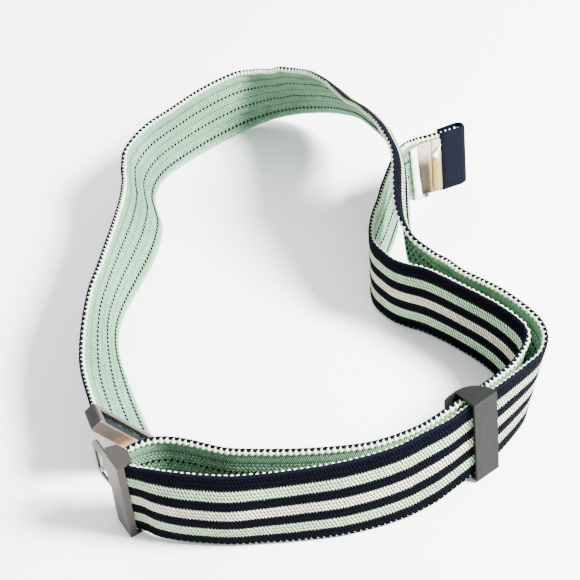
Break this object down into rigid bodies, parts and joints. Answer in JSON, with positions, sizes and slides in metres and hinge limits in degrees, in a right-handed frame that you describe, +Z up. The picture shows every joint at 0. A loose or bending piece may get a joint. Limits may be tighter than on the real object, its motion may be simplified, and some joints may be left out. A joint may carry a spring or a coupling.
{
  "type": "knitted webbing belt",
  "caption": "Wide knitted elastic waist belt, bunched up on its lower edge, with a slider, a hook plate, a loop frame, a bound tail and folded fabric labels.",
  "frame": {"origin": "centre of the footprint, on the surface that the belt stands on", "axes": "+Z up, across the strap's width where it stands upright; +Y from the hook plate's side to the back of the loop; +X from the loop frame's side to the tail's side"},
  "size_m": [0.2041, 0.3014, 0.0782],
  "materials": {
    "webbing": "knitted elastic, striped in navy, mint and cream on one side and mint with dashed navy lines on the other",
    "navy_tape": "woven grosgrain tape",
    "white_satin": "woven satin",
    "beige_satin": "woven satin",
    "dark_metal": "satin dark grey plating",
    "warm_nickel": "satin warm nickel plating, a little worn"
  },
  "bodies": {
    "root": {"webbing": "webbing", "end_cap": "navy_tape", "label_white": "white_satin", "label_beige": "beige_satin", "label_corner": "beige_satin", "slider": "dark_metal", "hook_plate": "warm_nickel", "loop_frame": "warm_nickel", "start_tape": "navy_tape"}
  },
  "joints": []
}
